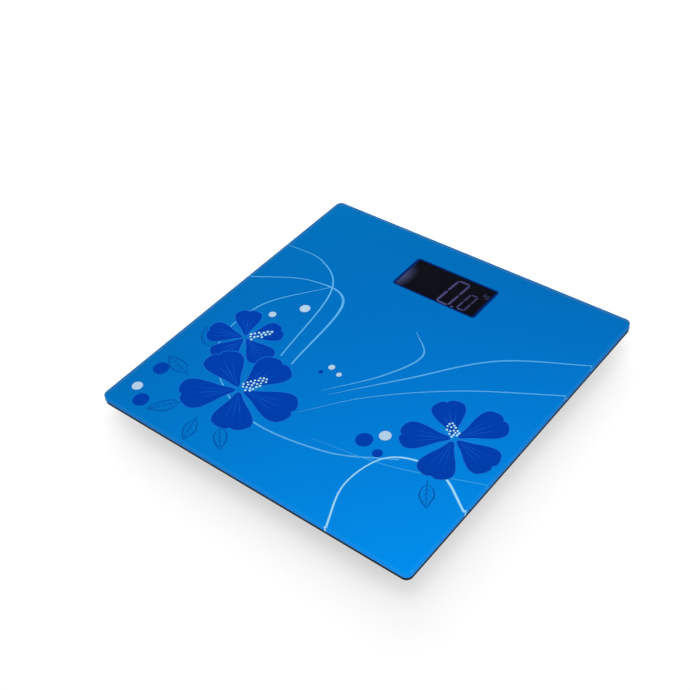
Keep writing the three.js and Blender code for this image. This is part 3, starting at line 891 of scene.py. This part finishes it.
def bar2(x0, y0, x1, y1, w):
    d = Vector((x1 - x0, y1 - y0)).normalized() * w / 2
    n = Vector((-d.y, d.x))
    SEG.append([(x0 - d.x - n.x, y0 - d.y - n.y), (x1 + d.x - n.x, y1 + d.y - n.y), (x1 + d.x + n.x, y1 + d.y + n.y), (x0 - d.x + n.x, y0 - d.y + n.y)])


# unit mark, a plain "kg"
ux, uy = gx(770, 190)
for x0, y0, x1, y1 in (
    (0.4, 0.3, 0.4, 4.6), (0.75, 1.6, 1.9, 3.1), (0.95, 1.5, 1.95, 0.3),
    (3.0, 0.6, 3.0, 2.8), (3.4, 3.1, 4.6, 3.1), (4.95, -0.9, 4.95, 2.9), (3.4, 0.3, 4.5, 0.3), (3.2, -1.3, 4.6, -1.3),
):
    bar2(ux + x0, uy + y0, ux + x1, uy + y1, 0.5)

bm = bmesh.new()
zs = (LCD_HI.z + 0.02 * MM, LCD_HI.z + 0.07 * MM)
for poly in SEG:
    area2 = sum(a[0] * b[1] - b[0] * a[1] for a, b in zip(poly, poly[1:] + poly[:1]))
    if area2 < 0:
        poly = poly[::-1]
    lo_ = [bm.verts.new((x * MM, y * MM, zs[0])) for x, y in poly]
    hi_ = [bm.verts.new((x * MM, y * MM, zs[1])) for x, y in poly]
    bm.faces.new(hi_)
    bm.faces.new(lo_[::-1])
    for i in range(len(poly)):
        j = (i + 1) % len(poly)
        bm.faces.new((lo_[i], lo_[j], hi_[j], hi_[i]))
seg_mat = bpy.data.materials.new("lit_segments")
nt, out = node_tree(seg_mat)
p = nt.nodes.new("ShaderNodeBsdfPrincipled")
p.inputs["Base Color"].default_value = (*lin((34, 33, 56)), 1)
p.inputs["Roughness"].default_value = 0.4
link(
    nt,
    tinted(nt, lin((108, 102, 180)), spread(nt, noise(nt, 700, 3), 0, 1), 0.18),
    p.inputs["Emission Color"],
)
# the reading fades towards the far end, away from the backlight
tc = nt.nodes.new("ShaderNodeTexCoord")
xyz = nt.nodes.new("ShaderNodeSeparateXYZ")
link(nt, tc.outputs["Object"], xyz.inputs[0])
d_ = math2(nt, "ADD", xyz.outputs["X"], math2(nt, "MULTIPLY", xyz.outputs["Y"], 0.55))
link(nt, spread(nt, d_, 0.4, 0.2, 0.051, 0.083), p.inputs["Emission Strength"])
link(nt, p.outputs["BSDF"], out.inputs["Surface"])
seg_ob = new_object("lcd_digits", from_bmesh("lcd_digits", bm), "base", seg_mat)


# ------------------------------------------------------------------ moulded pieces: fine copies of the CAD solids
def fine_copy(node, name, width, material, body, segs=2, angle=24, planar=0.6):
    """The CAD solid with its faces merged and its hard edges rounded."""
    src_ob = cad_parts[node]
    bm = bmesh.new()
    bm.from_mesh(src_ob.data)
    bm.transform(src_ob.matrix_world)
    bmesh.ops.remove_doubles(bm, verts=bm.verts, dist=2e-6)
    bmesh.ops.dissolve_limit(
        bm,
        angle_limit=math.radians(planar),
        verts=bm.verts,
        edges=bm.edges,
        use_dissolve_boundaries=False,
    )
    edges = [
        e
        for e in bm.edges
        if len(e.link_faces) == 2
        and e.calc_face_angle(0) > math.radians(angle)
        and e.calc_length() > width * 0.5
    ]
    bmesh.ops.bevel(
        bm,
        geom=edges,
        offset=width,
        segments=segs,
        profile=0.6,
        affect="EDGES",
        clamp_overlap=True,
        miter_outer="ARC",
    )
    bmesh.ops.triangulate(bm, faces=[f for f in bm.faces if len(f.verts) > 4])
    me = from_bmesh(name, bm)
    ob = new_object(name, me, body, material, 30)
    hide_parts(node)
    return ob


abs_black = pbr(
    "abs_black",
    (0.026, 0.027, 0.03),
    0.52,
    var=0.12,
    var_scale=35,
    bump=0.35,
    bump_scale=2600,
    bump_dist=0.03,
)
tray = fine_copy("base_tray", "tray", 0.28 * MM, abs_black, "base")
cover_mat = pbr(
    "abs_cover", (0.031, 0.032, 0.035), 0.47, var=0.12, var_scale=60, bump=0.3, bump_scale=3000, bump_dist=0.025
)
cover = fine_copy("battery_cover", "cover", 0.22 * MM, cover_mat, "battery_cover")


def lathe(name, profile, cx, cy, segs=64, axis="z"):
    """Turned closed solid from (radius, height) pairs in mm that start and end on the axis."""
    bm = bmesh.new()
    rows = []
    for r, z in profile:
        if r < 1e-6:
            rows.append([bm.verts.new((0, 0, z * MM))])
        else:
            rows.append(
                [
                    bm.verts.new(
                        (
                            r * MM * math.cos(2 * math.pi * i / segs),
                            r * MM * math.sin(2 * math.pi * i / segs),
                            z * MM,
                        )
                    )
                    for i in range(segs)
                ]
            )
    for a, b in zip(rows, rows[1:]):
        for i in range(segs):
            j = (i + 1) % segs
            if len(a) == 1 and len(b) == 1:
                continue
            if len(a) == 1:
                bm.faces.new((a[0], b[j], b[i]))
            elif len(b) == 1:
                bm.faces.new((a[i], a[j], b[0]))
            else:
                bm.faces.new((a[i], a[j], b[j], b[i]))
    if axis == "x":
        bmesh.ops.rotate(bm, verts=bm.verts, matrix=Matrix.Rotation(math.pi / 2, 3, "Y"))
    if axis == "-x":
        bmesh.ops.rotate(bm, verts=bm.verts, matrix=Matrix.Rotation(-math.pi / 2, 3, "Y"))
    bmesh.ops.translate(bm, verts=bm.verts, vec=(cx, cy, 0))
    return from_bmesh(name, bm)


rubber_mat = pbr(
    "foot_rubber", (0.055, 0.056, 0.058), 0.78, var=0.25, var_scale=220, bump=0.45, bump_scale=1800, bump_dist=0.05
)
for c in ("fl", "fr", "bl", "br"):
    lo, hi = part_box("foot_cap_" + c)
    cx, cy = (lo.x + hi.x) / 2, (lo.y + hi.y) / 2
    cap = new_object(
        "cap_" + c,
        lathe(
            "cap_" + c,
            [
                (0, 2.05), (16.1, 2.05), (16.3, 1.9), (16.3, 1.15), (16.45, 0.96), (16.8, 0.9),
                (18.2, 0.9), (18.9, 1.0), (19.5, 1.35), (19.85, 1.85), (19.95, 2.3), (19.95, 2.7),
                (19.6, 2.8), (19.6, 3.0), (19.95, 3.1), (19.95, 4.2), (19.8, 4.6), (19.3, 4.85),
                (18.8, 4.9), (5.4, 4.9), (5.0, 5.2), (5.0, 9.4), (4.8, 9.6), (0, 9.6),
            ],
            cx,
            cy,
            72,
        ),
        "foot_" + c,
        abs_black,
        28,
    )
    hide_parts("foot_cap_" + c)
    pad = new_object(
        "pad_" + c,
        lathe(
            "pad_" + c,
            [
                (0, 0.35), (2.2, 0.35), (2.5, 0.0), (5.2, 0.0), (5.45, 0.3), (6.2, 0.3), (6.45, 0.0),
                (9.2, 0.0), (9.45, 0.3), (10.2, 0.3), (10.45, 0.0), (12.8, 0.0), (13.05, 0.3),
                (13.8, 0.3), (14.05, 0.0), (15.2, 0.0), (15.7, 0.15), (15.95, 0.5), (15.98, 1.9),
                (15.9, 2.0), (0, 2.0),
            ],
            cx,
            cy,
            72,
        ),
        "foot_" + c,
        rubber_mat,
        28,
    )
    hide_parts("rubber_foot_" + c)

lo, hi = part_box("unit_button")
button = new_object(
    "button",
    lathe(
        "button",
        [
            (0, 3.3), (1.4, 3.26), (2.6, 3.16), (3.4, 3.04), (3.8, 3.0), (4.2, 3.08), (4.5, 3.35),
            (4.58, 3.7), (4.58, 5.45), (6.1, 5.45), (6.18, 5.55), (6.18, 6.15), (6.1, 6.25), (0, 6.25),
        ],
        (lo.x + hi.x) / 2,
        (lo.y + hi.y) / 2,
        56,
    ),
    "unit_button",
    pbr("abs_grey", (0.25, 0.265, 0.285), 0.42, var=0.06, bump=0.25, bump_scale=2800, bump_dist=0.02),
    28,
)
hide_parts("unit_button")


# ------------------------------------------------------------------ batteries and their contacts
def banded(name, dark, light, at, flip, rough=0.32):
    """Battery sleeve: two colours split across X, with a fine printed line at the split."""
    m = bpy.data.materials.new(name)
    nt, out = node_tree(m)
    p = nt.nodes.new("ShaderNodeBsdfPrincipled")
    link(nt, p.outputs["BSDF"], out.inputs["Surface"])
    tc = nt.nodes.new("ShaderNodeTexCoord")
    xyz = nt.nodes.new("ShaderNodeSeparateXYZ")
    link(nt, tc.outputs["Object"], xyz.inputs[0])
    ramp = nt.nodes.new("ShaderNodeValToRGB")
    ramp.color_ramp.interpolation = "CONSTANT"
    link(nt, spread(nt, xyz.outputs["X"], 0, 1, -0.025, 0.025), ramp.inputs["Fac"])
    a, b = (light, dark) if flip else (dark, light)
    e = ramp.color_ramp.elements
    e[0].position, e[0].color = 0, (*a, 1)
    e[1].position, e[1].color = at + 0.012, (*b, 1)
    k = e.new(at)
    k.color = (0.75, 0.75, 0.72, 1)
    mix = nt.nodes.new("ShaderNodeMix")
    mix.data_type = "RGBA"
    mix.blend_type = "MULTIPLY"
    mix.inputs["Factor"].default_value = 1
    link(nt, ramp.outputs["Color"], mix.inputs["A"])
    link(nt, tinted(nt, (0.96, 0.96, 0.96), spread(nt, noise(nt, 260, 3), 0, 1), 0.04), mix.inputs["B"])
    link(nt, mix.outputs["Result"], p.inputs["Base Color"])
    link(nt, spread(nt, noise(nt, 500, 3), rough - 0.06, rough + 0.08), p.inputs["Roughness"])
    p.inputs["Metallic"].default_value = 0.35
    return m


steel_bright = pbr(
    "nickel_plate", (0.62, 0.61, 0.58), 0.24, 1.0, var=0.06, var_scale=400, rough_var=0.08, bump=0.08, bump_scale=1500
)
spring_mat = pbr("spring_wire", (0.66, 0.65, 0.62), 0.2, 1.0, var=0.08, var_scale=900, bump=0.1, bump_scale=3000)
for name, s in (("battery_1", 1), ("battery_2", -1)):
    lo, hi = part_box(name)
    cy = (lo.y + hi.y) / 2
    cz = (lo.z + hi.z) / 2
    prof = [
        (0, 0.25), (3.6, 0.25), (3.9, 0.0), (4.7, 0.0), (5.0, 0.12), (5.2, 0.4), (5.25, 0.8),
        (5.25, 42.8), (5.18, 43.15), (4.95, 43.4), (4.55, 43.5), (4.2, 43.35), (3.9, 43.3), (2.2, 43.35),
        (1.95, 43.5), (1.9, 44.3), (1.75, 44.48), (0, 44.5),
    ]
    me = lathe(name + "_can", prof, 0, 0, 48, "x" if s > 0 else "-x")
    for v in me.vertices:
        v.co += Vector((lo.x if s > 0 else hi.x, cy, cz))
    me.update()
    ob = new_object(name + "_can", me, "base", None, 28)
    me.materials.append(
        banded(name + "_sleeve", (0.015, 0.02, 0.05), (0.55, 0.33, 0.12), 0.72 if s > 0 else 0.28, s < 0)
    )
    me.materials.append(steel_bright)
    for f in me.polygons:
        x = (f.center.x - lo.x) / MM if s > 0 else (hi.x - f.center.x) / MM
        r = math.hypot(f.center.y - cy, f.center.z - cz) / MM
        f.material_index = 1 if (r < 4.5) else 0
    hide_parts(name)


def coil_mesh(name, x0, x1, y, z, r0, r1, turns, wire, per=28, sides=10):
    n = int(turns * per)
    bm = bmesh.new()
    rows = []
    pts = []
    for i in range(n + 1):
        t = i / n
        a = 2 * math.pi * turns * t
        r = r0 + (r1 - r0) * t
        e = min(t * turns, (1 - t) * turns, 1.0)
        pts.append(Vector((x0 + (x1 - x0) * t, y + r * math.cos(a), z + r * math.sin(a))))
    for i, p in enumerate(pts):
        d = (pts[min(i + 1, n)] - pts[max(i - 1, 0)]).normalized()
        u = Vector((1, 0, 0))
        u = (u - d * u.dot(d)).normalized()
        v = d.cross(u)
        rows.append([bm.verts.new(p + (u * math.cos(2 * math.pi * k / sides) + v * math.sin(2 * math.pi * k / sides)) * wire) for k in range(sides)])
    for a, b in zip(rows, rows[1:]):
        for i in range(sides):
            j = (i + 1) % sides
            bm.faces.new((a[i], a[j], b[j], b[i]))
    bm.faces.new(rows[0][::-1])
    bm.faces.new(rows[-1])
    return from_bmesh(name, bm)


b1, b2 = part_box("battery_1"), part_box("battery_2")
cz = (b1[0].z + b1[1].z) / 2
y1, y2 = (b1[0].y + b1[1].y) / 2, (b2[0].y + b2[1].y) / 2
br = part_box("contact_bridge")
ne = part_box("contact_negative")
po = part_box("contact_positive")


def plate_mesh(name, lo, hi, bumps):
    """Thin contact plate across X with rounded corners; bumps, meant as the y of pressed-in rings, is not used."""
    w, h = (hi[1] - lo[1]) / MM, (hi[2] - lo[2]) / MM
    pts = [(u * MM, v * MM) for u, v in round_rect(w, h, 1.2, 5)]
    cy, cz_ = (lo[1] + hi[1]) / 2, (lo[2] + hi[2]) / 2
    bm = bmesh.new()
    t = hi[0] - lo[0]
    rows = []
    for x, k in ((lo[0], 0.99), (lo[0] + 0.05 * MM, 1.0), (hi[0] - 0.05 * MM, 1.0), (hi[0], 0.99)):
        rows.append([bm.verts.new((x, cy + u * k, cz_ + v * k)) for u, v in pts])
    n = len(pts)
    for a, b in zip(rows, rows[1:]):
        for i in range(n):
            j = (i + 1) % n
            bm.faces.new((a[i], a[j], b[j], b[i]))
    bm.faces.new(rows[0][::-1])
    bm.faces.new(rows[-1])
    return from_bmesh(name, bm)


def dimple_mesh(name, x0, x1, y, z):
    prof = [(0, 0), (3, 0), (2.6, 0.08), (2.1, 0.24), (1.7, 0.3), (0, 0.3)]
    me = lathe(name, prof, 0, 0, 28, "x" if x1 > x0 else "-x")
    for v in me.vertices:
        v.co += Vector((x0, y, z))
    me.update()
    return me


for nm, lo_, hi_, node in (
    ("bridge_plate", (br[0].x, br[0].y, br[0].z), (br[0].x + 0.4 * MM, br[1].y, br[1].z), "contact_bridge"),
    ("negative_plate", (ne[1].x - 4.5 * MM, ne[0].y, ne[0].z), (ne[1].x - 4.1 * MM, ne[1].y, ne[1].z), "contact_negative"),
    ("positive_plate", (po[0].x + 0.28 * MM, po[0].y, po[0].z), (po[0].x + 0.68 * MM, po[1].y, po[1].z), "contact_positive"),
):
    ob = new_object(nm, plate_mesh(nm, lo_, hi_, ()), "base", steel_bright, 30)
    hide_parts(node)
for nm, me in (
    ("bridge_spring", coil_mesh("bridge_spring", br[0].x + 0.75 * MM, b1[0].x - 0.4 * MM, y1, cz, 3.4 * MM, 2.0 * MM, 3.5, 0.35 * MM)),
    ("negative_spring", coil_mesh("negative_spring", ne[1].x - 4.85 * MM, b2[1].x + 0.4 * MM, y2, cz, 3.4 * MM, 2.0 * MM, 3.5, 0.35 * MM)),
    ("bridge_dimple", dimple_mesh("bridge_dimple", br[0].x + 0.39 * MM, 0, y2, cz)),
    ("positive_dimple", dimple_mesh("positive_dimple", po[0].x + 0.29 * MM, -1, y1, cz)),
):
    ob = new_object(nm, me, "base", spring_mat, 40)
for nm, node in (("negative_tab", ne), ("positive_tab", po)):
    y = (node[0].y + node[1].y) / 2
    ob = new_object(
        nm,
        bevelled_box(nm, (node[1].x - 4.4 * MM, y - 1.2 * MM, 13.95 * MM), (node[1].x, y + 1.2 * MM, 14.45 * MM), 0.1 * MM, 2),
        "base",
        steel_bright,
        40,
    )


# ------------------------------------------------------------------ blank sticker in the recess under the tray
tray_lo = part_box("base_tray")[0]
bm_pts = round_rect(75, 39, 2.6, 6, 0, -64)
sticker_me = rings_mesh(
    "sticker",
    [
        ([(x * MM, y * MM) for x, y in bm_pts], tray_lo.z + 0.19 * MM),
        ([(x * MM, y * MM) for x, y in bm_pts], tray_lo.z + 0.29 * MM),
    ],
)
sticker = new_object(
    "blank_sticker",
    sticker_me,
    "base",
    pbr("sticker_foil", (0.3, 0.31, 0.32), 0.42, 0.4, var=0.05, var_scale=180, stretch=(1, 6, 1), bump=0.1, bump_scale=500),
    20,
)


# ------------------------------------------------------------------ carried CAD pieces: finishes
foam_mat = pbr("foam", (0.02, 0.021, 0.024), 0.9, var=0.3, var_scale=900, bump=0.6, bump_scale=1600, bump_dist=0.15)
eva_mat = pbr("eva_foam", (0.05, 0.052, 0.058), 0.92, var=0.2, var_scale=700, bump=0.6, bump_scale=1300, bump_dist=0.2)
white_abs = pbr("abs_white", (0.76, 0.75, 0.71), 0.46, var=0.03, bump=0.25, bump_scale=2600, bump_dist=0.03)
cell_steel = pbr(
    "cell_steel", (0.5, 0.505, 0.51), 0.33, 1.0, var=0.12, var_scale=40, stretch=(1, 14, 1), rough_var=0.12, bump=0.15, bump_scale=60, bump_dist=0.03
)
zinc_mat = pbr("zinc_plate", (0.6, 0.61, 0.63), 0.28, 1.0, var=0.12, var_scale=500, bump=0.1, bump_scale=1600)
guide_mat = pbr("acrylic", (0.82, 0.88, 0.95), 0.12, var=0.02, rough_var=0.03)
frame_mat = pbr("abs_frame", (0.02, 0.021, 0.024), 0.6, var=0.1, bump=0.3, bump_scale=2400, bump_dist=0.03)
led_mat = pbr("led_package", (0.8, 0.76, 0.55), 0.3, var=0.1, var_scale=600)
zebra_mat = pbr("zebra", (0.42, 0.2, 0.19), 0.7, var=0.55, var_scale=1800, stretch=(1, 0.05, 0.05), bump=0.2)
epoxy_mat = pbr("epoxy", (0.012, 0.012, 0.013), 0.28, var=0.2, var_scale=300, bump=0.3, bump_scale=450, bump_dist=0.1)
can_mat = pbr("can_sleeve", (0.02, 0.028, 0.08), 0.3, var=0.1, var_scale=400, rough_var=0.06)
red_mat = pbr("pvc_red", (0.42, 0.012, 0.012), 0.38, var=0.08, var_scale=200, bump=0.1, bump_scale=900)
blk_mat = pbr("pvc_black", (0.014, 0.014, 0.015), 0.4, var=0.15, var_scale=200, bump=0.1, bump_scale=900)
gry_mat = pbr("pvc_grey", (0.09, 0.095, 0.1), 0.45, var=0.1, var_scale=200, bump=0.1, bump_scale=900)
switch_mat = pbr("switch_body", (0.018, 0.018, 0.02), 0.45, var=0.1, bump=0.2)
plunger_mat = pbr("plunger", (0.3, 0.31, 0.33), 0.4, var=0.05)

board_mat = bpy.data.materials.new("solder_mask")
nt, out = node_tree(board_mat)
p = nt.nodes.new("ShaderNodeBsdfPrincipled")
link(nt, p.outputs["BSDF"], out.inputs["Surface"])
tc = nt.nodes.new("ShaderNodeTexCoord")
br_t = nt.nodes.new("ShaderNodeTexBrick")
br_t.inputs["Scale"].default_value = 260
br_t.inputs["Color1"].default_value = (*lin((22, 104, 58)), 1)
br_t.inputs["Color2"].default_value = (*lin((18, 92, 50)), 1)
br_t.inputs["Mortar"].default_value = (*lin((40, 128, 76)), 1)
br_t.inputs["Mortar Size"].default_value = 0.05
link(nt, tc.outputs["Object"], br_t.inputs["Vector"])
link(nt, br_t.outputs["Color"], p.inputs["Base Color"])
link(nt, spread(nt, noise(nt, 400, 3), 0.3, 0.42), p.inputs["Roughness"])
b = nt.nodes.new("ShaderNodeBump")
b.inputs["Strength"].default_value = 0.3
b.inputs["Distance"].default_value = 0.03 * MM
link(nt, br_t.outputs["Fac"], b.inputs["Height"])
link(nt, b.outputs["Normal"], p.inputs["Normal"])

CARRIED = {
    "adhesive_tape": foam_mat,
    "lcd_frame": frame_mat,
    "light_guide": guide_mat,
    "backlight_led": led_mat,
    "zebra_strip": zebra_mat,
    "circuit_board": board_mat,
    "controller_chip": epoxy_mat,
    "capacitor": can_mat,
    "unit_switch": switch_mat,
    "switch_plunger": plunger_mat,
    "battery_lead_red": red_mat,
    "battery_lead_black": blk_mat,
}
for i in range(1, 5):
    CARRIED["board_screw_%d" % i] = zinc_mat
for c in ("fl", "fr", "bl", "br"):
    CARRIED["load_cell_" + c] = cell_steel
    CARRIED["cell_cover_" + c] = white_abs
    CARRIED["glass_pad_" + c] = eva_mat
    CARRIED["cell_cable_" + c] = gry_mat
    for k in "ab":
        CARRIED["cover_screw_%s_%s" % (c, k)] = zinc_mat
for node, m in CARRIED.items():
    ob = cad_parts[node]
    if ob.material_slots:
        for s in ob.material_slots:
            s.material = m
    else:
        ob.data.materials.append(m)
